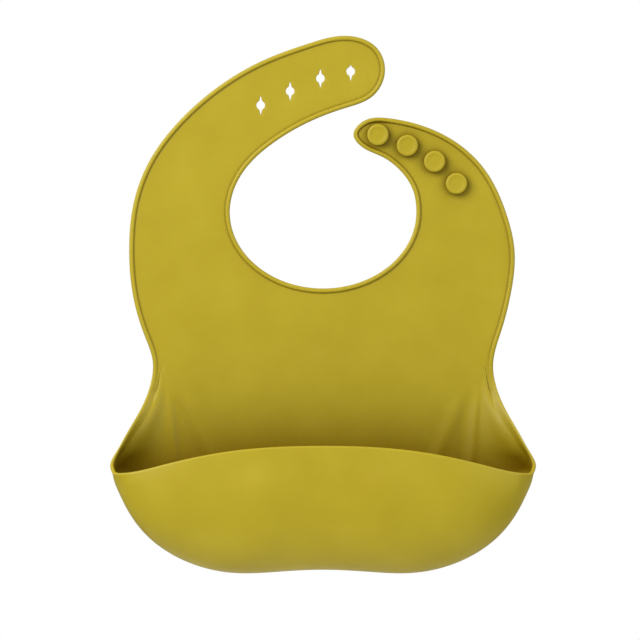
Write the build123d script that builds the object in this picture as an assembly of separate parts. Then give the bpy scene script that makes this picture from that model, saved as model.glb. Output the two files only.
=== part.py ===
"""A one-piece moulded silicone baby bib, in millimetres.

+Z is up and the bib's front faces -Y. The origin is the centre of the neck opening on the
flat back. The long strap on the -X side carries four button holes, and the short strap on
the +X side carries four studs. The catch pocket is at the bottom.

The bib is moulded in one shot, so the nodes are zones of one moulding. They meet face to
face, and the zones that bend turn on rolled knuckles that stand for bands of soft silicone.
"""

import os

from build123d import *

# Sheet and rim
SHEET = 2.0  # thickness of the chest and the straps
RIM_WIDTH = 2.6  # the raised bead along the free edge
RIM_HEIGHT = 3.0  # from the back face to the top of the bead
WALL = 2.2  # the pocket's walls
BACK_WALL = 1.6  # where the sheet covers it

# Neck opening, an ellipse about the origin
NECK_HALF_WIDTH = 52.0
NECK_HALF_HEIGHT = 42.7

# Waist, where the chest is narrowest and the side walls of the pocket begin
WAIST_X = 94.9
WAIST_Z = -86.0

# Pocket
CORNER_X = 118.6  # half the width of the mouth
CORNER_Z = -142.5
LIP_BAND = 3.2  # height of the rounded lip
FLOOR_HALF_WIDTH = 62.0
POCKET_BOTTOM = -201.3
POCKET_DEPTH = 46.0

# Studs and holes
STUD_HEAD_RADIUS = 6.0
STUD_HEAD_THICKNESS = 1.8
STUD_STEM_RADIUS = 2.5
STUD_STEM_LENGTH = 2.4
STUD_EDGE_RADIUS = 0.7
HOLE_RADIUS = 2.4
SLIT_WIDTH = 1.1
SLIT_LENGTH = 10.0

# Knuckles between zones that bend
KNUCKLE_RADIUS = 1.9
KNUCKLE_GAP = 0.35
HINGE_Y = -SHEET / 2
POCKET_GAP = 0.3  # between the pocket's front and the rest of the pocket

# The outer edge of the long strap from the waist to its tip, then back down its inner edge
HOLE_STRAP_EDGE = [
    (-WAIST_X, WAIST_Z),
    (-99.6, -69.0),
    (-105.6, -49.0),
    (-108.2, -20.0),
    (-105.0, 8.0),
    (-95.5, 31.0),
    (-79.8, 51.3),
    (-56.4, 71.4),
    (-32.9, 84.8),
    (-8.0, 94.0),
    (14.0, 98.2),
    (30.1, 91.5),
    (34.6, 78.5),
    (27.9, 64.7),
    (12.8, 58.0),
    (-9.0, 49.6),
    (-28.5, 37.9),
    (-43.0, 24.4),
    (-50.0, 11.6),
    (-NECK_HALF_WIDTH, 0.0),
]

# The inner edge of the short strap from the neckline to its tip, then down its outer edge
STUD_STRAP_EDGE = [
    (NECK_HALF_WIDTH, 0.0),
    (50.2, 12.0),
    (43.5, 22.6),
    (32.2, 31.1),
    (22.3, 35.8),
    (16.9, 43.4),
    (22.6, 50.7),
    (36.5, 52.3),
    (57.1, 47.5),
    (76.4, 37.4),
    (91.6, 21.8),
    (102.0, 0.0),
    (106.9, -22.0),
    (104.9, -45.0),
    (99.6, -66.0),
    (WAIST_X, WAIST_Z),
]

# The fold where the flat chest turns forward into a side wall of the pocket
CREASE = [
    (WAIST_X, WAIST_Z),
    (87.0, -103.0),
    (82.0, -122.0),
    (81.0, -143.0),
    (74.0, -165.0),
    (55.0, -182.0),
    (0.0, -190.0),
]

# The pocket's lip as seen from the front, from the corner of the mouth to the middle
LIP = [
    (CORNER_X + 2.0, -143.0),
    (113.0, -145.2),
    (104.5, -144.3),
    (89.6, -140.7),
    (54.7, -133.4),
    (0.0, -130.0),
]

# Level sections of the pocket: height, half width of the flat back, set-back of that back,
# half width and depth at the widest line, and depth at the middle of the front
SECTIONS = [
    (-88.0, 92.6, 0.0, 94.6, 2.4, 6.0),
    (-96.0, 89.4, 0.0, 96.3, 5.2, 13.5),
    (-105.0, 86.0, 0.0, 99.3, 9.0, 22.0),
    (-116.0, 83.2, 0.0, 105.2, 13.6, 31.0),
    (-124.0, 82.0, 0.0, 110.0, 17.0, 36.8),
    (-133.0, 81.5, 0.0, 115.2, 20.2, 42.0),
    (CORNER_Z, 81.0, 0.0, CORNER_X, 22.5, 45.0),
    (-151.0, 79.5, 0.0, 116.4, 22.3, POCKET_DEPTH),
    (-160.0, 76.0, 0.0, 112.5, 21.5, POCKET_DEPTH),
    (-168.0, 72.3, 0.1, 107.8, 20.5, 44.6),
    (-176.0, 67.0, 0.3, 102.0, 19.0, 42.0),
    (-183.0, 61.0, 0.8, 95.2, 17.5, 38.5),
    (-189.5, 54.0, 2.2, 86.0, 16.0, 33.5),
    (-196.0, 43.0, 5.0, 72.0, 14.2, 26.0),
    (POCKET_BOTTOM, 30.0, 8.5, 49.0, 12.5, 17.0),
]

# Button holes along the long strap and studs along the short one
HOLES = [(-34.8, 59.5), (-18.4, 67.4), (-1.5, 74.5), (15.4, 78.4)]
STUDS = [(30.6, 43.0), (47.0, 37.0), (62.2, 28.1), (74.4, 15.8)]

# Each bending line runs from the neck side of a strap to its outer side
HINGES = {
    "hole_lower": ((-38.0, -25.0), (-112.0, -25.0)),
    "hole_middle": ((-46.0, 4.0), (-110.0, 14.0)),
    "hole_tip": ((-27.0, 28.0), (-71.0, 74.0)),
    "stud_lower": ((38.0, -25.0), (112.0, -25.0)),
    "stud_tip": ((46.0, -2.0), (110.0, 5.0)),
}

FAR = 400.0  # larger than the bib, for cutting tools

# The back half of the pocket, from side to side
BACK_SPANS = {
    "left_gusset": (-FAR, -FLOOR_HALF_WIDTH),
    "pocket_floor": (-FLOOR_HALF_WIDTH, FLOOR_HALF_WIDTH),
    "right_gusset": (FLOOR_HALF_WIDTH, FAR),
}

INSET_STEP = 6.0  # spacing of the points that carry the rim's inner edge


def point(xz, y=0.0):
    """A point of the outline, given as (x, z), at depth y."""
    return Vector(xz[0], y, xz[1])


def mirrored(points):
    """The same points on the other side, in the order that carries a curve on."""
    return [(-x, z) for x, z in reversed(points)]


def forward(face, amount, start=0.0):
    """Extrudes a face that lies in the XZ plane towards the front, from depth start."""
    return extrude(Pos(0, -start, 0) * face, amount=amount, dir=(0, -1, 0))


def smooth(points, tangents):
    """A curve through points, at an even pace, with unit tangents at its ends or at every point."""
    return Spline(*points, tangents=tangents, tangent_scalars=[1.0] * len(tangents))


def box_between(low, high):
    size = [b - a for a, b in zip(low, high)]
    centre = [(a + b) / 2 for a, b in zip(low, high)]
    return Pos(*centre) * Box(*size)


# The flat sheet: chest and straps

def outline():
    """The edges of the straps and chest, down to the folds of the pocket, run clockwise."""
    up, down = Vector(0, 0, 1), Vector(0, 0, -1)
    hole_strap = smooth([point(p) for p in HOLE_STRAP_EDGE], (up, down))
    neckline = Plane.XZ * EllipticalCenterArc(
        (0, 0), NECK_HALF_WIDTH, NECK_HALF_HEIGHT, start_angle=180, arc_size=180
    )
    stud_strap = smooth([point(p) for p in STUD_STRAP_EDGE], (up, down))
    folds = CREASE + mirrored(CREASE)[1:]
    pocket = smooth([point(p) for p in folds], (down, up))
    return [hole_strap, neckline, stud_strap, pocket]


def inset_edge(edge, amount):
    """An edge of the outline moved inwards, as a curve through points along it."""
    steps = round(edge.length / INSET_STEP)
    points = []
    for step in range(steps + 1):
        along = edge % (step / steps)
        points.append(edge @ (step / steps) + Vector(along.Z, 0, -along.X) * amount)
    return smooth(points, (edge % 0, edge % 1))


def button_hole(centre):
    """A round hole with a slit above and below it."""
    middle = Plane.XZ * Pos(*centre) * (
        Circle(HOLE_RADIUS) + SlotOverall(SLIT_LENGTH, SLIT_WIDTH, rotation=90)
    )
    return extrude(middle, amount=SHEET, both=True)


def sheet_and_rim():
    """The flat sheet inside its raised rim, and the rim above the waist."""
    edges = outline()
    whole = Face(Wire(edges))
    inside = Face(Wire([inset_edge(edge, RIM_WIDTH) for edge in edges]))
    above_waist = box_between((-FAR, -FAR, WAIST_Z), (FAR, FAR, FAR))
    below_waist = box_between((-FAR, -FAR, -FAR), (FAR, FAR, WAIST_Z))
    rim = (forward(whole, RIM_HEIGHT) - forward(inside, RIM_HEIGHT)) & above_waist
    sheet = forward(inside, SHEET) + (forward(whole, SHEET) & below_waist)
    for centre in HOLES:
        sheet -= button_hole(centre)
    return sheet, rim


# The pocket

def section(height, back, set_back, side, side_depth, depth, inset=0.0):
    """A level section of the pocket: a straight back and one curve round the front."""
    back, side, depth = back - inset * 0.7, side - inset, depth - inset
    y_back = -set_back - inset * BACK_WALL / WALL
    side_depth = max(side_depth, -y_back + 0.4)
    half = [
        ((back, y_back), (1.0, -0.35)),
        ((side, -side_depth), (0.0, -1.0)),
        ((side * 0.86, -side_depth - 0.56 * (depth - side_depth)), (-1.0, -0.55)),
        ((side * 0.45, -depth + 0.05 * (depth - side_depth)), (-1.0, -0.08)),
        ((0.0, -depth), (-1.0, 0.0)),
    ]
    other = [((-x, y), (dx, -dy)) for (x, y), (dx, dy) in reversed(half[:-1])]
    points = [Vector(x, y, height) for (x, y), _ in half + other]
    tangents = [Vector(dx, dy, 0) for _, (dx, dy) in half + other]
    curve = smooth(points, tangents)
    base = Line(curve @ 1, curve @ 0)
    return Face(Wire([curve, base]))


def pocket_shell():
    """The pocket's walls before the mouth is opened, lofted through the level sections."""
    outer = loft([section(*row) for row in SECTIONS])
    top, *middle, bottom = SECTIONS
    levels = [(top[0] + WALL, *top[1:]), *middle, (bottom[0] + WALL, *bottom[1:])]
    return outer - loft([section(*row, inset=WALL) for row in levels])


def front_region(gap=0.0):
    """All space in front of the pocket's widest line, which its depth at each height gives."""
    line = [Vector(0, -row[4] - gap, row[0]) for row in SECTIONS]
    line = [line[0] + Vector(0, 0, WALL), *line, line[-1] - Vector(0, 0, WALL)]
    edge = Spline(*line)
    corners = [edge @ 1, Vector(0, -FAR, (edge @ 1).Z), Vector(0, -FAR, (edge @ 0).Z), edge @ 0]
    profile = Face(Wire([edge, *Polyline(*corners).edges()]))
    return extrude(profile, amount=FAR, dir=(1, 0, 0), both=True)


def above_lip(drop=0.0):
    """All space above the lip's line, or above that line moved down by drop."""
    half = [(x, z - drop) for x, z in LIP]
    curve = Spline(*[point(p) for p in half + mirrored(half)[1:]])
    start, end = curve @ 0, curve @ 1
    corners = [end, Vector(-FAR, 0, end.Z), Vector(-FAR, 0, FAR), Vector(FAR, 0, FAR)]
    corners += [Vector(FAR, 0, start.Z), start]
    return forward(Face(Wire([curve, *Polyline(*corners).edges()])), FAR)


def pocket_zones():
    """The part of the back in the sheet, the rest of the back half, the front and its lip."""
    shell = pocket_shell()
    back_half = shell - front_region()
    in_sheet = back_half & box_between((-FAR, -SHEET, -FAR), (FAR, 0, FAR))
    rest = back_half & box_between((-FAR, -FAR, -FAR), (FAR, -SHEET, FAR))
    front_half = (shell & front_region(POCKET_GAP)) - above_lip()
    front = front_half - above_lip(LIP_BAND)
    lip = front_half & above_lip(LIP_BAND)
    return in_sheet, rest, front, lip


# The bending lines

def hinge_up(name):
    """The direction up the strap, square to a bending line and in the plane of the sheet."""
    (x0, z0), (x1, z1) = HINGES[name]
    along = Vector(x1 - x0, 0, z1 - z0).normalized()
    turn = 90 if name.startswith("hole") else -90
    return along.rotate(Axis.Y, turn)


def knuckle_gap(name):
    """The half ring of clearance round a rolled knuckle, on the side away from the tip."""
    inner, outer = (point(p, HINGE_Y) for p in HINGES[name])
    frame = Plane(origin=inner, x_dir=hinge_up(name), z_dir=outer - inner)
    length = (outer - inner).length
    ring = Circle(KNUCKLE_RADIUS + KNUCKLE_GAP) - Circle(KNUCKLE_RADIUS)
    ring -= Pos(FAR / 2, 0) * Rectangle(FAR, FAR)
    return extrude(frame * ring, amount=length)


def zone_of(place):
    """Which zone of the moulding a point belongs to."""
    def beyond(name):
        return (place - point(HINGES[name][0])).dot(hinge_up(name)) > 0

    if not beyond("hole_lower"):
        return "chest"
    stud_side = place.X > 0 and place.Z < (STUD_STRAP_EDGE[7][1] + HOLE_STRAP_EDGE[14][1]) / 2
    if stud_side:
        return "stud_strap_tip" if beyond("stud_tip") else "stud_strap_lower"
    if beyond("hole_tip"):
        return "hole_strap_tip"
    return "hole_strap_middle" if beyond("hole_middle") else "hole_strap_lower"


def by_zone(shape):
    """Sorts the solids of a cut sheet or rim into their zones, by their centres."""
    zones = {}
    for solid in shape.solids():
        zones.setdefault(zone_of(solid.center()), []).append(solid)
    return zones


# The studs

def stud(centre):
    """A mushroom stud: a stem on the strap's face, and a flat head with a rounded edge."""
    head_start = SHEET + STUD_STEM_LENGTH
    stem = forward(Plane.XZ * Pos(*centre) * Circle(STUD_STEM_RADIUS), STUD_STEM_LENGTH, SHEET)
    head = forward(
        Plane.XZ * Pos(*centre) * Circle(STUD_HEAD_RADIUS), STUD_HEAD_THICKNESS, head_start
    )
    head = fillet(head.edges().filter_by(GeomType.CIRCLE), STUD_EDGE_RADIUS)
    return stem + head


def main():
    os.makedirs("parts", exist_ok=True)
    in_sheet, rest, front, lip = pocket_zones()
    sheet, rim = sheet_and_rim()
    for name in HINGES:
        gap = knuckle_gap(name)
        sheet -= gap
        rim -= gap
    sheets, rims = by_zone(sheet), by_zone(rim)

    nodes = {"chest_panel": sheets["chest"][0] + in_sheet}
    for zone in sorted(set(sheets) - {"chest"}):
        nodes[zone] = Compound(sheets[zone])
        nodes[f"{zone}_rim"] = Compound(rims[zone])
    for solid in rims["chest"]:
        x = solid.center().X
        side = "neckline" if abs(x) < NECK_HALF_WIDTH else "left_side" if x < 0 else "right_side"
        nodes[f"{side}_rim"] = solid

    for name, (low, high) in BACK_SPANS.items():
        span = box_between((low, -FAR, -FAR), (high, FAR, FAR))
        nodes[name] = max((rest & span).solids(), key=lambda solid: solid.volume)
    nodes["pocket_front"] = front
    nodes["pocket_lip"] = lip
    for number, centre in enumerate(STUDS, 1):
        nodes[f"stud_{number}"] = stud(centre)

    for name, shape in nodes.items():
        export_step(shape, f"parts/{name}.step")


if __name__ == "__main__":
    main()
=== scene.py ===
"""The looks of the silicone bib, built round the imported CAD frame.

Lengths in this script are millimetres until a mesh is made, which is in metres. +Z is up and
the front faces -Y, as in the frame. The bib is one skin: a back surface that is flat behind
the chest and straps and wraps forward into the pocket, a front surface a wall's thickness
inside it, and a rounded band along the free edge that joins the two.
"""

import math

import bmesh
import bpy
import numpy as np
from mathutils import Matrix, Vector
from mathutils.geometry import delaunay_2d_cdt


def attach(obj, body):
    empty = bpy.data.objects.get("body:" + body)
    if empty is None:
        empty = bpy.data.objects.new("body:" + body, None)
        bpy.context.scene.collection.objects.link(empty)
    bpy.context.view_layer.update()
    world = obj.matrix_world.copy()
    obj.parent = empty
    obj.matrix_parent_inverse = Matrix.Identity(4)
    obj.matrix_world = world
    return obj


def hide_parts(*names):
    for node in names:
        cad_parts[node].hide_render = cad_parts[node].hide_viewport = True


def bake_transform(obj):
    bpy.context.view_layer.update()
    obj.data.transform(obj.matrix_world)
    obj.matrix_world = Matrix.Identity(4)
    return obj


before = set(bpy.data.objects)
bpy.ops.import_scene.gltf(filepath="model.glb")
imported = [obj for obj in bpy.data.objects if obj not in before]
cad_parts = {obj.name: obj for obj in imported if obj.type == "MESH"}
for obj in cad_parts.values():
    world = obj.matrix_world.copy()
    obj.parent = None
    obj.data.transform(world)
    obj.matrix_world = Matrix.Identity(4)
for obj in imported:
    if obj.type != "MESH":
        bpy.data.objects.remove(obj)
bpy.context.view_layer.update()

MM = 0.001
UP, DOWN, LEFT = (0, 0, 1), (0, 0, -1), (-1, 0, 0)
SHEET = 2.0  # thickness of the chest and straps
WALL = 2.2  # thickness of the pocket's walls
BAND = 4.6  # width of the band along the free edge
GRID = 2.0  # spacing of the mesh on the flat sheet
GRID_GAP = 0.62 * GRID  # least distance from the grid to a rim
SHARP = 0.9  # curvature of a sharp edge, in 1/mm
SLIGHT = 0.15  # the share of it that still counts as smooth

# The outline, the holes and the studs are where the CAD has them, as (x, z)
NECK_HALF_WIDTH, NECK_HALF_HEIGHT = 52.0, 42.7
WAIST_X, WAIST_Z = 94.9, -86.0
HOLE_STRAP_EDGE = [
    (-WAIST_X, WAIST_Z), (-99.6, -69.0), (-105.6, -49.0), (-108.2, -20.0), (-105.0, 8.0),
    (-95.5, 31.0), (-79.8, 51.3), (-56.4, 71.4), (-32.9, 84.8), (-8.0, 94.0), (14.0, 98.2),
    (30.1, 91.5), (34.6, 78.5), (27.9, 64.7), (12.8, 58.0), (-9.0, 49.6), (-28.5, 37.9),
    (-43.0, 24.4), (-50.0, 11.6), (-NECK_HALF_WIDTH, 0.0),
]
STUD_STRAP_EDGE = [
    (NECK_HALF_WIDTH, 0.0), (50.2, 12.0), (43.5, 22.6), (32.2, 31.1), (22.3, 35.8),
    (16.9, 43.4), (22.6, 50.7), (36.5, 52.3), (57.1, 47.5), (76.4, 37.4), (91.6, 21.8),
    (102.0, 0.0), (106.9, -22.0), (104.9, -45.0), (99.6, -66.0), (WAIST_X, WAIST_Z),
]
HOLES = [(-34.8, 59.5), (-18.4, 67.4), (-1.5, 74.5), (15.4, 78.4)]
STUDS = [(30.6, 43.0), (47.0, 37.0), (62.2, 28.1), (74.4, 15.8)]
HOLE_RADIUS = 2.4
SLIT_LENGTH = 2.7  # how far a slit runs past the round part of its hole
SLIT_SPREAD = 0.15  # half the width of a slit's root, in radians about the hole's centre
LAST_UPPER_SLIT = 0.45  # the upper slit of the hole next to the tip, as a share of the others

# The right half of the pocket as (x, y, z): the free edge of the gusset, the lip, the fold
# behind the gusset, and the widest line, which runs from the corner of the mouth round the
# bottom. The fold and the widest line are softer than the CAD's.
GUSSET_EDGE = [
    (WAIST_X, 0.0, WAIST_Z), (96.4, -1.4, -96.0), (99.5, -4.6, -105.0), (105.3, -10.4, -116.0),
    (110.0, -15.2, -124.0), (115.0, -19.8, -133.0), (118.6, -22.6, -141.5),
]
LIP = [
    (118.6, -22.6, -141.5), (117.2, -25.6, -144.9), (113.0, -29.8, -145.5),
    (104.5, -34.2, -144.3), (89.6, -38.4, -140.7), (54.7, -41.0, -133.4), (0.0, -41.6, -130.0),
]
FOLD = [
    (WAIST_X - BAND, 0, WAIST_Z), (86.4, 0, -103.0), (82.5, 0, -122.0), (81.0, 0, -143.0),
    (74.0, 0, -165.0), (55.0, 0, -182.0), (0.0, 0, -190.0),
]
FOLD_AT_CORNER = 3  # the point of the fold level with the corner of the mouth
WIDEST = [
    (116.2, -20.0, -149.8), (113.6, -21.0, -156.2), (110.1, -21.0, -163.5),
    (103.5, -19.5, -174.0), (95.1, -17.5, -183.0), (85.9, -16.0, -189.7),
    (72.0, -14.2, -196.4), (49.0, -12.8, -201.2), (25.0, -12.4, -200.5), (0.0, -12.3, -199.4),
]
CORNER_WAY = (-0.12, -0.6, -0.79)  # the way of the free edge at the corner of the mouth
FOLD_WAY = (-0.4, 0, -0.92)  # the way in which the fold leaves the waist
WIDEST_WAY = (-0.2, -0.3, -0.95)  # the way in which the widest line leaves the corner

# The way into the skin, by the share of the gusset's edge and of half the lip
GUSSET_WAYS = {
    0.0: (-1, 0, 0), 0.3: (-0.9, 0.4, 0), 0.6: (-0.7, 0.7, 0), 0.85: (-0.35, 0.85, -0.3),
    1.0: (-0.25, 0.8, -0.59),
}
LIP_WAYS = {
    0.0: (-0.25, 0.8, -0.59), 0.035: (-0.5, 0.2, -0.97), 0.12: (-0.25, -0.1, -1),
    0.5: (-0.05, -0.04, -1), 1.0: (0, 0, -1),
}

# How many stretches the mesh has along each run
CURVE_STEPS = 32  # between two neighbouring points of a curve, before it is divided evenly
FLAT_STEPS = 600  # the free edge of the flat sheet
GUSSET_STEPS = 44
MOUTH_STEPS = 116  # half the lip, and the widest line under it
RIB_STEPS = 26  # from the fold to the widest line
FRONT_STEPS = 46  # from the widest line to the lip

# Places along the free edge, counted clockwise from the left side of the waist, and how many
# stretches each change beside them takes
WAIST = FLAT_STEPS  # the right side of the waist
CORNER = WAIST + GUSSET_STEPS  # the right corner of the mouth
MIDDLE = CORNER + MOUTH_STEPS  # the middle of the lip
OTHER_CORNER = MIDDLE + MOUTH_STEPS
FLAT_BELOW_WAIST = 15  # where the band leaves the sheet's plane
STRAIGHT_BELOW_WAIST = 18  # where the ribs start to bend
LIP_INTO_GUSSET = 9  # where the lip's thickness runs out into the gusset's edge
BEAD_LOW, BEAD_HIGH = WAIST_Z - 16.0, WAIST_Z + 14.0  # the bead fades out between these heights

# How the pocket's walls curve
WAY_ROUNDS = 40  # rounds of smoothing of the ribs' directions where they end
RIB_CROWDING = 1.15  # above 1, a rib's points lie closer together towards its end
RIB_PULL = 1.1  # how strongly a rib follows its end direction, as a share of its length
COLUMN_PULLS = (1.15, 1.05)  # the same at the foot and at the top of a column

# Where the sheet turns into the pocket, and how it is smoothed: (highest z, foremost y, rounds)
SOFT_FOLD = (WAIST_Z + 2.0, -9.0, 60)
SOFT_NORMALS = (WAIST_Z + 6.0, -12.0, 12)
SOFT_THICKNESS = (WAIST_Z + 20.0, -math.inf, 80)
WALL_DEPTH = 6.0  # how far forward the sheet's thickness has become the walls'
TURNED_AWAY = 0.6  # a normal's share of the band's own direction below which it isn't used

# Ridges and grooves beside the pocket: (height, x at the level, lean, level, width)
RIDGES = [(0.8, 84.5, 0.08, -120.0, 1.9), (-0.55, 78.5, 0.08, -120.0, 3.4),
          (0.6, 72.0, 0.42, -116.0, 3.8)]
RIDGES_BOTTOM, RIDGES_TOP, RIDGES_FADE = -150.0, -97.0, 12.0
RIDGES_DEPTH = 6.0  # how far forward they end
LOBE_HEIGHT, LOBE_X, LOBE_WIDTH = 1.4, 33.0, 13.0  # the soft lobes low on the pocket's front
LOBE_Y, LOBE_Y_FADE = -24.0, 10.0
LOBE_Z, LOBE_Z_FADE = -139.0, 15.0

# Profiles of the free edge, from the front surface round to the back: (distance in from the
# edge, height above the back surface)
BEAD = [
    (BAND, 2.0), (3.9, 2.0), (3.4, 1.98), (3.1, 1.92), (2.88, 1.8), (2.7, 1.88), (2.58, 2.15),
    (2.42, 2.5), (2.1, 2.82), (1.65, 2.98), (1.15, 2.97), (0.68, 2.8), (0.3, 2.48),
    (0.06, 2.0), (0.0, 1.4), (0.06, 0.75), (0.28, 0.28), (0.7, 0.03), (1.5, 0.0), (BAND, 0.0),
]
ROUNDED = [
    (BAND, 2.2), (3.9, 2.2), (3.4, 2.2), (3.1, 2.2), (2.88, 2.2), (2.7, 2.2), (2.5, 2.2),
    (2.2, 2.2), (1.85, 2.2), (1.45, 2.2), (1.05, 2.19), (0.65, 2.1), (0.3, 1.86),
    (0.07, 1.48), (0.0, 1.08), (0.08, 0.62), (0.32, 0.22), (0.72, 0.02), (1.5, 0.0), (BAND, 0.0),
]
THINNED = [
    (BAND, 1.3), (3.9, 1.3), (3.4, 1.3), (3.1, 1.3), (2.88, 1.3), (2.7, 1.3), (2.5, 1.3),
    (2.2, 1.3), (1.85, 1.3), (1.45, 1.29), (1.05, 1.26), (0.65, 1.16), (0.3, 0.97),
    (0.07, 0.75), (0.0, 0.6), (0.07, 0.35), (0.25, 0.14), (0.6, 0.03), (1.5, 0.0), (BAND, 0.0),
]
HOLE_EDGE = [
    (0.3, 2.0), (0.16, 1.96), (0.05, 1.86), (0.0, 1.7), (0.0, 0.3), (0.05, 0.14),
    (0.16, 0.04), (0.3, 0.0),
]


# Curves

def hermite(p0, p1, t0, t1, u):
    """Points at u between p0 and p1 on the cubic that leaves along t0 and arrives along t1."""
    return (
        p0 * (2 * u**3 - 3 * u**2 + 1) + t0 * (u**3 - 2 * u**2 + u)
        + p1 * (3 * u**2 - 2 * u**3) + t1 * (u**3 - u**2)
    )


def smooth_curve(points, start, end):
    """A finely divided cubic curve through points, with unit directions at its two ends."""
    p = np.array(points, float)
    h = np.linalg.norm(np.diff(p, axis=0), axis=1)
    rows = np.eye(len(p))
    right = np.zeros_like(p)
    right[0], right[-1] = start, end
    for i in range(1, len(p) - 1):
        rows[i, i - 1:i + 2] = 1 / h[i - 1], 2 / h[i - 1] + 2 / h[i], 1 / h[i]
        right[i] = 3 * ((p[i] - p[i - 1]) / h[i - 1] ** 2 + (p[i + 1] - p[i]) / h[i] ** 2)
    slope = np.linalg.solve(rows, right)
    u = np.linspace(0, 1, CURVE_STEPS, endpoint=False)[:, None]
    runs = [
        hermite(p[i], p[i + 1], slope[i] * h[i], slope[i + 1] * h[i], u) for i in range(len(h))
    ]
    return np.concatenate([*runs, p[-1:]])


def evenly(curve, steps):
    """The curve divided again into equal steps along its length."""
    length = np.r_[0, np.cumsum(np.linalg.norm(np.diff(curve, axis=0), axis=1))]
    at = np.linspace(0, length[-1], steps + 1)
    return np.stack([np.interp(at, length, axis) for axis in curve.T], axis=1)


def unit(vectors):
    return vectors / np.linalg.norm(vectors, axis=-1, keepdims=True)


def eased(u):
    """0 below 0, 1 above 1 and a smooth step between."""
    u = np.clip(u, 0, 1)
    return u * u * (3 - 2 * u)


def mirror(points):
    """The same points on the other side, in the order that carries a curve on."""
    return np.array(points, float)[::-1] * (-1, 1, 1)


def on_sheet(points):
    return [(x, 0, z) for x, z in points]


def ways_along(loop):
    """The direction along a closed loop at each of its points."""
    return unit(np.roll(loop, -1, axis=0) - np.roll(loop, 1, axis=0))


def into_sheet(loop):
    """The way from each point of a loop on the flat sheet into the silicone beside it."""
    along = ways_along(loop)
    return np.stack([along[:, 2], 0 * along[:, 0], -along[:, 0]], axis=1)


# The free edge and the lines of the pocket

def free_edge():
    """Points along the free edge, clockwise as seen from the front."""
    hole_strap = smooth_curve(on_sheet(HOLE_STRAP_EDGE), UP, DOWN)
    turn = np.radians(np.linspace(180, 360, 181))
    neckline = np.stack(
        [NECK_HALF_WIDTH * np.cos(turn), 0 * turn, NECK_HALF_HEIGHT * np.sin(turn)], axis=1
    )
    stud_strap = smooth_curve(on_sheet(STUD_STRAP_EDGE), UP, DOWN)
    flat = evenly(np.concatenate([hole_strap[:-1], neckline[:-1], stud_strap]), FLAT_STEPS)
    corner_way = unit(np.array(CORNER_WAY))
    gusset = evenly(smooth_curve(GUSSET_EDGE, DOWN, corner_way), GUSSET_STEPS)
    whole_lip = LIP + [tuple(p) for p in mirror(LIP)[1:]]
    lip = evenly(smooth_curve(whole_lip, corner_way, corner_way * (1, -1, -1)), 2 * MOUTH_STEPS)
    return np.concatenate([flat, gusset[1:], lip[1:], mirror(gusset)[1:-1]])


def inward_ways(loop):
    """The way into the skin from each point of the free edge, and the way to its front."""
    along = ways_along(loop)
    inward = into_sheet(loop)
    for start, steps, ways in ((WAIST, GUSSET_STEPS, GUSSET_WAYS), (CORNER, MOUTH_STEPS, LIP_WAYS)):
        at = np.linspace(0, 1, steps + 1)
        run = [np.interp(at, list(ways), axis) for axis in zip(*ways.values())]
        run = np.stack(run, axis=1)
        inward[start:start + steps + 1] = run
        other = [(2 * MIDDLE - i) % len(loop) for i in range(start, start + steps + 1)]
        inward[other] = run * (-1, 1, 1)
    inward = unit(inward - along * np.sum(inward * along, axis=1)[:, None])
    return inward, unit(np.cross(inward, along))


def flatness_below_waist(count):
    """How much the band stays in the sheet's plane: 1 at the waist, 0 well down the gusset."""
    flatness = np.zeros((count, 1))
    steps = np.arange(FLAT_BELOW_WAIST + 1)
    for start, way in ((WAIST, 1), (count, -1)):
        flatness[(start + way * steps) % count, 0] = 1 - eased(steps / FLAT_BELOW_WAIST)
    return flatness


def fold_line():
    """The fold behind the pocket, from the right side of the waist round to the left."""
    side = smooth_curve(FOLD, FOLD_WAY, LEFT)
    level = CURVE_STEPS * FOLD_AT_CORNER
    upper = evenly(side[:level + 1], GUSSET_STEPS)
    lower = evenly(side[level:], MOUTH_STEPS)
    half = np.concatenate([upper[1:], lower[1:]])
    return np.concatenate([half, mirror(half)[1:]])


def widest_line(start):
    """The pocket's widest line, from the right corner of the mouth, at start, to the left one."""
    line = smooth_curve([start, *WIDEST], unit(np.array(WIDEST_WAY)), LEFT)
    half = evenly(line, MOUTH_STEPS)[1:]
    return np.concatenate([half, mirror(half)[1:]])


def edge_profile(loop):
    """The free edge's profile at each point: the bead, the gusset's thin edge or the round lip."""
    beaded = eased((loop[:, 2] - BEAD_LOW) / (BEAD_HIGH - BEAD_LOW))[:, None]
    past_corner = np.abs(np.arange(len(loop)) - MIDDLE) - MOUTH_STEPS
    thinned = eased(past_corner / LIP_INTO_GUSSET)[:, None] * (1 - beaded)
    full = 1 - beaded - thinned
    return [
        np.array(bead) * beaded + np.array(thin) * thinned + np.array(lip) * full
        for bead, thin, lip in zip(BEAD, THINNED, ROUNDED)
    ]


# Building the skin

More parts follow.
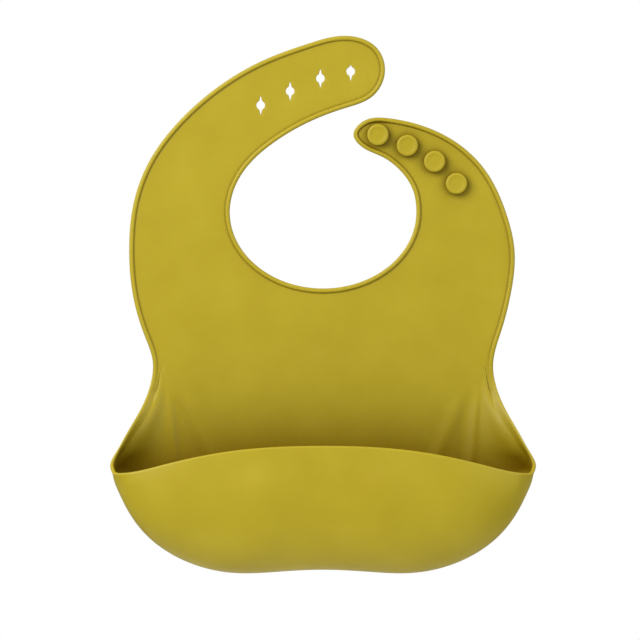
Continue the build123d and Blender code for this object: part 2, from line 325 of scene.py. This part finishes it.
class Skin:
    """Vertices and faces of the bib's mesh while it is put together."""

    def __init__(self):
        self.points = np.zeros((0, 3))
        self.faces = []

    def add(self, points):
        """Adds an array of points, and returns their numbers in the same arrangement."""
        points = np.asarray(points, float)
        numbers = len(self.points) + np.arange(points[..., 0].size)
        self.points = np.concatenate([self.points, points.reshape(-1, 3)])
        return numbers.reshape(points.shape[:-1])

    def strips(self, numbers, closed=False):
        """Adds quads between the neighbouring rows and columns of an array of vertices."""
        if closed:
            numbers = np.concatenate([numbers, numbers[:1]])
        corners = (numbers[:-1, :-1], numbers[1:, :-1], numbers[1:, 1:], numbers[:-1, 1:])
        for face in np.stack([c.ravel() for c in corners], axis=1):
            kept = list(dict.fromkeys(face.tolist()))
            if len(kept) > 2:
                self.faces.append(kept)

    def normals(self):
        """A normal at each vertex, from the faces round it."""
        total = np.zeros_like(self.points)
        for face in self.faces:
            p = self.points[face]
            total[face] += np.cross(p[1] - p[0], p[2] - p[0])
            if len(face) == 4:
                total[face] += np.cross(p[2] - p[0], p[3] - p[0])
        return unit(total + 1e-12)


def button_hole(centre, upper=1.0):
    """The outline of a round hole that runs into a tapering slit above and below."""
    # The points crowd towards the slits
    quarter = np.linspace(0, 1, 28, endpoint=False) ** 0.45 * math.pi / 2
    half = np.r_[quarter, math.pi / 2, math.pi - quarter[:0:-1]]
    turn = np.r_[half, half + math.pi]
    from_slit = np.minimum(np.abs(turn - math.pi / 2), np.abs(turn - 3 * math.pi / 2))
    length = np.where(turn < math.pi, SLIT_LENGTH * upper, SLIT_LENGTH)
    radius = HOLE_RADIUS + length * np.exp(-((from_slit / SLIT_SPREAD) ** 1.4))
    x, z = centre[0] + radius * np.cos(turn), centre[1] + radius * np.sin(turn)
    return np.stack([x, 0 * x, z], axis=1)


def inside(points, loop):
    """Which points lie inside a closed loop, seen along Y."""
    x, z = points[:, 0][:, None], points[:, 2][:, None]
    x0, z0 = loop[:, 0], loop[:, 2]
    x1, z1 = np.roll(x0, -1), np.roll(z0, -1)
    crosses = (z0 > z) != (z1 > z)
    with np.errstate(divide="ignore", invalid="ignore"):
        at = x0 + (z - z0) * (x1 - x0) / (z1 - z0)
    return np.sum(crosses & (x < at), axis=1) % 2 == 1


def clear_of(points, loop, gap):
    """Which points are at least gap away from every point of a loop."""
    nearest = np.full(len(points), np.inf)
    for part in np.array_split(loop, len(loop) // 64 + 1):
        away = np.linalg.norm(points[:, None] - part[None], axis=2).min(axis=1)
        nearest = np.minimum(nearest, away)
    return nearest > gap


def add_flat_sheet(skin, border, hole_loops):
    """Fills the flat sheet inside border, round the holes, with triangles on a regular grid."""
    rim = skin.points[border]
    low, high = rim.min(axis=0), rim.max(axis=0)
    rows = np.arange(low[2] + GRID, high[2], GRID * math.sqrt(0.75))
    grid = []
    for row, z in enumerate(rows):
        xs = np.arange(low[0] + GRID * (0.5 if row % 2 else 1.0), high[0], GRID)
        grid += [(x, 0, z) for x in xs]
    grid = np.array(grid)
    keep = inside(grid, rim)
    for loop in [border, *hole_loops]:
        keep &= clear_of(grid, skin.points[loop], GRID_GAP)
    for loop in hole_loops:
        keep &= ~inside(grid, skin.points[loop])
    numbers = np.concatenate([border, *hole_loops, skin.add(grid[keep])])
    edges, first = [], 0
    for loop in [border, *hole_loops]:
        count = len(loop)
        edges += [(first + i, first + (i + 1) % count) for i in range(count)]
        first += count
    flat = [Vector((p[0], p[2])) for p in skin.points[numbers]]
    found = delaunay_2d_cdt(flat, edges, [], 1, 1e-6, True)
    source = [ids[0] for ids in found[3]]
    for triangle in found[2]:
        face = [int(numbers[source[i]]) for i in triangle][::-1]
        centre = skin.points[face].mean(axis=0)[None]
        in_hole = any(inside(centre, skin.points[loop])[0] for loop in hole_loops)
        if inside(centre, rim)[0] and not in_hole:
            skin.faces.append(face)


def add_patch(skin, first, last, leave, arrive, shares):
    """Adds a curved surface between two lines of vertices that share both ends.

    Its cross lines leave the first line along leave and arrive at the last one along arrive,
    and have their points at the given shares of the way.
    """
    starts, ends = skin.points[first], skin.points[last]
    rows = [hermite(starts, ends, leave, arrive, share) for share in shares]
    between = skin.add(np.stack(rows, axis=1)[1:-1])
    body = np.concatenate([first[1:-1, None], between, last[1:-1, None]], axis=1)
    start, end = (np.full((1, body.shape[1]), first[at]) for at in (0, -1))
    skin.strips(np.concatenate([start, body, end])[:, ::-1])


def add_back_walls(skin, fold, outer, inward):
    """Ribs that turn forward from the fold to the gussets' edges and to the widest line."""
    starts, ends = skin.points[fold], skin.points[outer]
    reach = np.linalg.norm(ends - starts, axis=1)[:, None]
    leave = unit((ends - starts) * (1, 0, 1) + 1e-9)
    arrive = np.tile((0.0, -1.0, 0.0), (len(outer), 1))
    arrive[:GUSSET_STEPS + 1] = -inward[WAIST:CORNER + 1]
    arrive[-GUSSET_STEPS - 1:] = -np.r_[inward[OTHER_CORNER:], inward[:1]]
    for _ in range(WAY_ROUNDS):
        arrive[1:-1] += 0.25 * (arrive[2:] + arrive[:-2] - 2 * arrive[1:-1])
    from_waist = np.minimum(np.arange(len(outer)), np.arange(len(outer))[::-1])
    bent = eased(from_waist / STRAIGHT_BELOW_WAIST)[:, None]
    arrive = unit(unit(arrive) * bent + unit(ends - starts + 1e-9) * (1 - bent))
    shares = 1 - (1 - np.linspace(0, 1, RIB_STEPS + 1)) ** RIB_CROWDING
    add_patch(skin, fold, outer, leave * reach, arrive * reach * RIB_PULL, shares[1:-1])


def add_front_wall(skin, widest, lip_ring, inward):
    """Columns that rise from the widest line, forward at first, to the lip."""
    reach = np.linalg.norm(skin.points[lip_ring] - skin.points[widest], axis=1)[:, None]
    foot_pull, top_pull = COLUMN_PULLS
    leave = np.array((0.0, -1.0, 0.0)) * reach * foot_pull
    arrive = -inward[CORNER:OTHER_CORNER + 1] * reach * top_pull
    shares = np.linspace(0, 1, FRONT_STEPS + 1)
    add_patch(skin, widest, lip_ring, leave, arrive, shares[1:-1])


def add_band(skin, front, rows, back):
    """Adds the strip round a closed edge: rows of points between its front and back rims."""
    middle = skin.add(np.stack(rows, axis=1))
    skin.strips(np.concatenate([front[:, None], middle, back[:, None]], axis=1), closed=True)


def neighbours(faces):
    """The pairs of vertices that share an edge, as two arrays."""
    pairs = {
        tuple(sorted((face[i - 1], face[i]))) for face in faces for i in range(len(face))
    }
    return np.array(sorted(pairs)).T


def relax(rows, points, pairs, fixed, region):
    """Evens out rows, one for each point, within a region (highest z, foremost y, rounds).

    Each round moves a row half the way to the mean of its neighbours', but for the fixed ones.
    """
    top, front, rounds = region
    free = (points[:, 2] < top) & (points[:, 1] > front)
    free[fixed] = False
    first, second = pairs
    count = np.bincount(np.r_[first, second], minlength=len(rows))[:, None]
    for _ in range(rounds):
        total = np.zeros_like(rows)
        np.add.at(total, first, rows[second])
        np.add.at(total, second, rows[first])
        rows[free] += 0.5 * (total / count - rows)[free]


def hump(away, width):
    """1 where away is 0, and soon nothing beyond width."""
    return np.exp(-((away / width) ** 2))


def waves(points):
    """How far the skin swells towards the front: ridges beside the pocket, lobes on its front."""
    x, y, z = np.abs(points[:, 0]), points[:, 1], points[:, 2]
    above, below = (z - RIDGES_BOTTOM) / RIDGES_FADE, (RIDGES_TOP - z) / RIDGES_FADE
    beside = np.clip(above, 0, 1) * np.clip(below, 0, 1) * sum(
        height * hump(x - at - lean * (z - level), width)
        for height, at, lean, level, width in RIDGES
    )
    lobes = LOBE_HEIGHT * hump(x - LOBE_X, LOBE_WIDTH)
    on_front = eased((LOBE_Y - y) / LOBE_Y_FADE) * eased((LOBE_Z - z) / LOBE_Z_FADE)
    return beside * eased(1.0 + y / RIDGES_DEPTH) + lobes * on_front


def build_skin():
    """The whole bib as one closed mesh, in millimetres."""
    skin = Skin()
    loop = free_edge()
    inward, to_front = inward_ways(loop)
    flatness = flatness_below_waist(len(loop))

    # The lines of the back surface: the ring at the inner side of the edge band, which leaves
    # the sheet's plane slowly at the waist, the fold and the widest line
    shift = -(loop + inward * BAND) * (0, 1, 0) * flatness
    ring = skin.add(loop + inward * BAND + shift)
    lip_ring = ring[CORNER:OTHER_CORNER + 1]
    fold = np.r_[ring[WAIST], skin.add(fold_line()), ring[0]]
    widest = skin.add(widest_line(skin.points[lip_ring[0]]))
    widest = np.r_[lip_ring[0], widest, lip_ring[-1]]

    # The sheet with the holes of the long strap, and the walls of the pocket
    upper_slits = [1.0] * (len(HOLES) - 1) + [LAST_UPPER_SLIT]
    outlines = [button_hole(centre, upper) for centre, upper in zip(HOLES, upper_slits)]
    holes = [(outline, into_sheet(outline)) for outline in outlines]
    hole_rings = [skin.add(outline + way * HOLE_EDGE[-1][0]) for outline, way in holes]
    add_flat_sheet(skin, np.r_[ring[:WAIST + 1], fold[1:-1]], hole_rings)
    outer = np.r_[ring[WAIST:CORNER], widest, ring[OTHER_CORNER + 1:], ring[0]]
    add_back_walls(skin, fold, outer, inward)
    add_front_wall(skin, widest, lip_ring, inward)

    # The sheet turns into the pocket softly, without a crease
    pairs = neighbours(skin.faces)
    relax(skin.points[:, 1:2], skin.points, pairs, ring, SOFT_FOLD)
    skin.points[:, 1] -= waves(skin.points)

    # The front surface, a wall's thickness inside the back one. Each of its vertices has the
    # number of the one behind it plus back_count.
    normals = skin.normals()
    facing = np.sum(normals[ring] * -to_front, axis=1, keepdims=True)
    own = np.where(facing > TURNED_AWAY, normals[ring], -to_front)
    normals[ring] = unit(own * (1 - flatness) - to_front * flatness)
    relax(normals, skin.points, pairs, ring, SOFT_NORMALS)
    normals = unit(normals)
    profile = edge_profile(loop)
    thickness = SHEET + (WALL - SHEET) * np.clip(-skin.points[:, 1:2] / WALL_DEPTH, 0, 1)
    thickness[ring] = profile[0][:, 1:]
    relax(thickness, skin.points, pairs, ring, SOFT_THICKNESS)
    back_count = len(skin.points)
    skin.add(skin.points - normals * thickness)
    skin.faces += [[i + back_count for i in face[::-1]] for face in skin.faces]

    # The band round the free edge, a bead that fades into a plain rounded wall, and the
    # linings of the holes
    rows = []
    for p in profile[1:-1]:
        share = p[:, :1] / BAND
        way = unit(to_front * (1 - share) - normals[ring] * share)
        rows.append(loop + inward * p[:, :1] + way * p[:, 1:] + shift * share)
    add_band(skin, ring + back_count, rows, ring)
    for (outline, way), hole_ring in zip(holes, hole_rings):
        rows = [outline + way * d + np.array((0, -h, 0)) for d, h in HOLE_EDGE[1:-1]]
        add_band(skin, hole_ring + back_count, rows, hole_ring)
    return skin


def mesh_of(name, points, faces):
    """A smooth mesh with its faces turned outwards, from points in millimetres."""
    mesh = bpy.data.meshes.new(name)
    mesh.from_pydata([tuple(p) for p in points * MM], [], faces)
    mesh.validate()
    tool = bmesh.new()
    tool.from_mesh(mesh)
    bmesh.ops.recalc_face_normals(tool, faces=tool.faces)
    tool.to_mesh(mesh)
    tool.free()
    mesh.shade_smooth()
    return mesh


def values(collection, name, width, kind=float):
    """One property of every item of a mesh's collection, as an array of rows."""
    found = np.zeros(len(collection) * width, kind)
    collection.foreach_get(name, found)
    return found.reshape(-1, width)


def keep_shape(mesh):
    """Stores each vertex's normal and how sharply it bulges, so that cut pieces still match."""
    points = values(mesh.vertices, "co", 3) / MM
    normals = values(mesh.vertex_normals, "vector", 3)
    first, second = values(mesh.edges, "vertices", 2, np.int32).T
    apart = points[second] - points[first]
    square = np.sum(apart**2, axis=1)
    total, count = np.zeros(len(points)), np.zeros(len(points))
    for at, way in ((first, -1.0), (second, 1.0)):
        np.add.at(total, at, way * np.sum(normals[at] * apart, axis=1) / square)
        np.add.at(count, at, 1)
    curvature = 2 * total / count
    bulge = np.clip(curvature / SHARP - SLIGHT, 0, 1)
    mesh.attributes.new("bulge", "FLOAT", "POINT").data.foreach_set("value", bulge)
    kept = mesh.attributes.new("skin_normal", "FLOAT_VECTOR", "POINT")
    kept.data.foreach_set("vector", normals.ravel())


# Splitting the skin into pieces

def island(tool, seed):
    """The vertices joined to the one nearest to seed."""
    first = min(tool.verts, key=lambda v: (v.co - seed).length_squared)
    found, waiting = {first}, [first]
    while waiting:
        vertex = waiting.pop()
        for edge in vertex.link_edges:
            other = edge.other_vert(vertex)
            if other not in found:
                found.add(other)
                waiting.append(other)
    return found


def cut_piece(name, whole, seed, planes):
    """The part of the skin round seed on the inner side of planes, each (point, way out)."""
    tool = bmesh.new()
    tool.from_mesh(whole)
    for point, way in planes:
        bmesh.ops.bisect_plane(
            tool, geom=[*tool.verts, *tool.edges, *tool.faces], dist=1e-7,
            plane_co=Vector(point) * MM, plane_no=Vector(way), clear_outer=True,
        )
    kept = island(tool, Vector(seed) * MM)
    bmesh.ops.delete(tool, geom=[v for v in tool.verts if v not in kept], context="VERTS")
    for point, way in planes:
        way, point = Vector(way), Vector(point) * MM
        rims = [
            edge for edge in tool.edges
            if edge.is_boundary and all(abs((v.co - point).dot(way)) < 1e-6 for v in edge.verts)
        ]
        caps = bmesh.ops.triangle_fill(tool, edges=rims, use_beauty=True, normal=way)
        for face in caps["geom"]:
            if isinstance(face, bmesh.types.BMFace):
                face.smooth = False
        for edge in rims:
            edge.smooth = False
    bmesh.ops.recalc_face_normals(tool, faces=tool.faces)
    mesh = bpy.data.meshes.new(name)
    tool.to_mesh(mesh)
    tool.free()
    normals = values(mesh.attributes["skin_normal"].data, "vector", 3)
    mesh.normals_split_custom_set_from_vertices(unit(normals))
    mesh.attributes.remove(mesh.attributes["skin_normal"])
    return mesh


def put(name, mesh, material, slot, *nodes):
    """Places a finished mesh in the scene, in place of the named CAD nodes."""
    thing = bpy.data.objects.new(name, mesh)
    bpy.context.scene.collection.objects.link(thing)
    mesh.materials.clear()
    mesh.materials.append(material)
    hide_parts(*nodes)
    return thing


# Materials

def silicone(name, lit, dark, shade):
    """Matt moulded silicone: an even colour with faint mottling, fine bloom and a soft sheen."""
    material = bpy.data.materials.new(name)
    material.use_nodes = True
    nodes, links = material.node_tree.nodes, material.node_tree.links
    shader = nodes["Principled BSDF"]
    shader.inputs["IOR"].default_value = 1.41
    shader.inputs["Subsurface Weight"].default_value = 0.12
    shader.inputs["Subsurface Radius"].default_value = (1.0, 0.8, 0.2)
    shader.inputs["Subsurface Scale"].default_value = 0.002
    place = nodes.new("ShaderNodeTexCoord")

    def noise(scale, detail):
        node = nodes.new("ShaderNodeTexNoise")
        node.inputs["Scale"].default_value = scale
        node.inputs["Detail"].default_value = detail
        links.new(place.outputs["Object"], node.inputs["Vector"])
        return node

    def ramp(source, low, high, first, last):
        node = nodes.new("ShaderNodeMapRange")
        node.inputs["From Min"].default_value = low
        node.inputs["From Max"].default_value = high
        node.inputs["To Min"].default_value = first
        node.inputs["To Max"].default_value = last
        links.new(source, node.inputs["Value"])
        return node.outputs["Result"]

    # Colour: broad mottling, and a painted highlight: a paler line along the sharp convex edges,
    # where the bead and the rounded rims catch the light
    mottle = noise(35.0, 4.0)
    colour = nodes.new("ShaderNodeMix")
    colour.data_type = "RGBA"
    colour.inputs["A"].default_value = (*dark, 1)
    colour.inputs["B"].default_value = (*lit, 1)
    links.new(ramp(mottle.outputs["Fac"], 0.3, 0.7, 0.0, 1.0), colour.inputs["Factor"])
    # The paler colour on sharp convex edges is a painted highlight, not rubbing
    painted_edge_highlight = nodes.new("ShaderNodeMix")
    painted_edge_highlight.data_type = "RGBA"
    painted_edge_highlight.inputs["B"].default_value = (*[min(1.0, c * 1.12 + 0.012) for c in lit], 1)
    bulge = nodes.new("ShaderNodeAttribute")
    bulge.attribute_name = "bulge"
    links.new(ramp(bulge.outputs["Fac"], 0.0, 1.0, 0.0, 0.7), painted_edge_highlight.inputs["Factor"])
    links.new(colour.outputs[2], painted_edge_highlight.inputs["A"])

    # Self-shade held in the grooves and inside the pocket, with less sheen there
    hollow = nodes.new("ShaderNodeAmbientOcclusion")
    hollow.inputs["Distance"].default_value = 0.09
    hollow.samples = 8
    deep = nodes.new("ShaderNodeMix")
    deep.data_type = "RGBA"
    deep.inputs["A"].default_value = (*shade, 1)
    open_air = ramp(hollow.outputs["AO"], 0.36, 0.95, 0.0, 1.0)
    links.new(open_air, deep.inputs["Factor"])
    links.new(ramp(open_air, 0.0, 1.0, 0.05, 0.4), shader.inputs["Specular IOR Level"])
    links.new(painted_edge_highlight.outputs[2], deep.inputs["B"])
    links.new(deep.outputs[2], shader.inputs["Base Color"])

    # Roughness: the bloom of the moulded surface, with slightly polished patches
    patches = noise(110.0, 3.0)
    links.new(ramp(patches.outputs["Fac"], 0.3, 0.7, 0.37, 0.46), shader.inputs["Roughness"])

    # Bump: slow ripples under a very fine grain
    ripple, grain = noise(60.0, 2.0), noise(2600.0, 2.0)
    low = nodes.new("ShaderNodeBump")
    low.inputs["Strength"].default_value = 0.25
    low.inputs["Distance"].default_value = 0.0003
    links.new(ripple.outputs["Fac"], low.inputs["Height"])
    fine = nodes.new("ShaderNodeBump")
    fine.inputs["Strength"].default_value = 0.12
    fine.inputs["Distance"].default_value = 0.00004
    links.new(grain.outputs["Fac"], fine.inputs["Height"])
    links.new(low.outputs["Normal"], fine.inputs["Normal"])
    links.new(fine.outputs["Normal"], shader.inputs["Normal"])
    return material


# The pieces

BODY_TOP = -38.5  # where the straps' pieces start
HOLE_BEND_FROM, STUD_BEND_FROM = -10.0, -13.4  # where each strap's second piece starts
HOLE_TIP_CUT = ((-46.0, 21.0), (-91.0, 41.0))  # where the long strap's third piece starts

skin = build_skin()
whole = mesh_of("whole_skin", skin.points, skin.faces)
keep_shape(whole)
yellow = silicone(
    "silicone_olive_yellow", lit=(0.50, 0.392, 0.018), dark=(0.46, 0.355, 0.013),
    shade=(0.15, 0.075, 0.0),
)


def put_cut(name, seed, planes, slot, *nodes):
    """Cuts one piece out of the whole skin and places it."""
    return put(name, cut_piece(name, whole, seed, planes), yellow, slot, *nodes)


shell = put_cut(
    "bib_shell", (0, 0, -120), [((0, 0, BODY_TOP), UP)], "chest",
    "chest_panel", "neckline_rim", "left_side_rim", "right_side_rim", "left_gusset",
    "right_gusset", "pocket_floor", "pocket_front", "pocket_lip",
)
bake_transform(shell)

(cut_x, cut_z), (far_x, far_z) = HOLE_TIP_CUT
tip_way = Vector((far_z - cut_z, 0, cut_x - far_x)).normalized()
tip_point = (cut_x, 0, cut_z)

hole_strap_1 = put_cut(
    "hole_strap_skin_1", (-90, 0, -25), [((0, 0, BODY_TOP), DOWN), ((0, 0, HOLE_BEND_FROM), UP)],
    "strap", "hole_strap_lower", "hole_strap_lower_rim",
)
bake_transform(hole_strap_1)
hole_strap_2 = put_cut(
    "hole_strap_skin_2", (-80, 0, 10), [((0, 0, HOLE_BEND_FROM), DOWN), (tip_point, tip_way)],
    "strap", "hole_strap_middle", "hole_strap_middle_rim",
)
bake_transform(hole_strap_2)
hole_strap_3 = put_cut(
    "hole_strap_skin_3", (0, 0, 90), [(tip_point, -tip_way)],
    "strap", "hole_strap_tip", "hole_strap_tip_rim",
)
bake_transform(hole_strap_3)

stud_strap_1 = put_cut(
    "stud_strap_skin_1", (90, 0, -25), [((0, 0, BODY_TOP), DOWN), ((0, 0, STUD_BEND_FROM), UP)],
    "strap", "stud_strap_lower", "stud_strap_lower_rim",
)
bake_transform(stud_strap_1)
stud_strap_2 = put_cut(
    "stud_strap_skin_2", (80, 0, 30), [((0, 0, STUD_BEND_FROM), DOWN)],
    "strap", "stud_strap_tip", "stud_strap_tip_rim",
)
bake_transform(stud_strap_2)
bpy.data.meshes.remove(whole)

# A stud: (radius, height above the back surface) from the stem's foot to the head's centre
STUD = [
    (3.6, 1.9), (3.0, 2.1), (2.62, 2.6), (2.5, 3.3), (2.55, 3.95), (2.8, 4.2), (4.6, 4.32),
    (5.4, 4.42), (5.8, 4.62), (5.98, 4.95), (6.0, 5.3), (5.9, 5.7), (5.66, 5.98), (5.3, 6.14),
    (4.9, 6.2), (4.5, 6.19), (4.1, 6.1), (3.7, 5.98), (3.2, 5.92), (2.4, 5.9), (1.2, 5.9),
]


def stud_mesh(name, centre, sides=96):
    """A stud turned round the line through centre, given as (x, z)."""
    turn = np.linspace(0, 2 * math.pi, sides, endpoint=False)
    x, z = np.cos(turn), np.sin(turn)
    rows = [
        np.stack([centre[0] + r * x, np.full(sides, -h), centre[1] + r * z], axis=1)
        for r, h in STUD
    ]
    stud = Skin()
    stud.strips(stud.add(np.stack(rows, axis=1)), closed=True)
    count = len(STUD)
    stud.faces.append([i * count for i in range(sides)])
    stud.faces.append([i * count + count - 1 for i in range(sides)][::-1])
    mesh = mesh_of(name, stud.points, stud.faces)
    keep_shape(mesh)
    mesh.attributes.remove(mesh.attributes["skin_normal"])
    return mesh


for number, centre in enumerate(STUDS, start=1):
    name = f"stud_head_{number}"
    stud = put(name, stud_mesh(name, centre), yellow, "stud", f"stud_{number}")
    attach(stud, "stud_strap_end")


# Camera, lights and floor, in metres

VIEW_WIDTH = 0.35712  # how much of the object's plane the picture shows
CAMERA_PLACE = (-0.0017, -6.0, -0.0603)
SENSOR_WIDTH = 36.0  # millimetres, as is the lens
LIGHT_TARGET = (0, 0, -0.02)
LIGHTS = [  # name, place, size, watts
    ("key", (-0.9, -1.0, 0.65), 1.0, 19.5),
    ("fill", (1.0, -1.0, 0.4), 0.9, 6.0),
    ("back_left", (-0.9, 1.0, 0.6), 0.9, 8.0),
    ("back_right", (1.0, 1.1, 0.4), 0.9, 5.0),
]
WORLD_STRENGTH = 0.36
FLOOR_HEIGHT, FLOOR_RADIUS = -285.0, 200.0  # millimetres


def camera():
    data = bpy.data.cameras.new("camera")
    data.sensor_width = SENSOR_WIDTH
    data.lens = SENSOR_WIDTH * -CAMERA_PLACE[1] / VIEW_WIDTH
    holder = bpy.data.objects.new("camera", data)
    holder.location = CAMERA_PLACE
    holder.rotation_euler = (math.pi / 2, 0, 0)
    bpy.context.scene.collection.objects.link(holder)
    bpy.context.scene.camera = holder


def studio_light(name, place, size, watts):
    """A square soft light that points at the bib."""
    data = bpy.data.lights.new(name, "AREA")
    data.energy = watts
    data.size = size
    holder = bpy.data.objects.new(name, data)
    holder.location = place
    way = Vector(LIGHT_TARGET) - Vector(place)
    holder.rotation_euler = way.to_track_quat("-Z", "Y").to_euler()
    bpy.context.scene.collection.objects.link(holder)


def pale_world(strength):
    """White behind the object, and an even white light of the given strength on it."""
    world = bpy.data.worlds.new("world")
    bpy.context.scene.world = world
    world.use_nodes = True
    nodes, links = world.node_tree.nodes, world.node_tree.links
    lit = nodes["Background"]
    lit.inputs["Color"].default_value = (1, 1, 1, 1)
    lit.inputs["Strength"].default_value = strength
    seen = nodes.new("ShaderNodeBackground")
    seen.inputs["Color"].default_value = (1, 1, 1, 1)
    path = nodes.new("ShaderNodeLightPath")
    either = nodes.new("ShaderNodeMixShader")
    links.new(path.outputs["Is Camera Ray"], either.inputs["Fac"])
    links.new(lit.outputs["Background"], either.inputs[1])
    links.new(seen.outputs["Background"], either.inputs[2])
    links.new(either.outputs["Shader"], nodes["World Output"].inputs["Surface"])


def pale_floor(height, radius, sides=96):
    material = bpy.data.materials.new("floor_paper")
    material.use_nodes = True
    shader = material.node_tree.nodes["Principled BSDF"]
    shader.inputs["Base Color"].default_value = (0.82, 0.82, 0.81, 1)
    shader.inputs["Roughness"].default_value = 0.8
    turn = np.linspace(0, 2 * math.pi, sides, endpoint=False)
    ring = np.stack([radius * np.cos(turn), radius * np.sin(turn), 0 * turn + height], axis=1)
    mesh = mesh_of("floor", ring, [list(range(sides))])
    mesh.materials.append(material)
    floor = bpy.data.objects.new("floor", mesh)
    bpy.context.scene.collection.objects.link(floor)


camera()
pale_world(WORLD_STRENGTH)
for light in LIGHTS:
    studio_light(*light)
pale_floor(FLOOR_HEIGHT, FLOOR_RADIUS)
bpy.context.scene.view_settings.view_transform = "Standard"
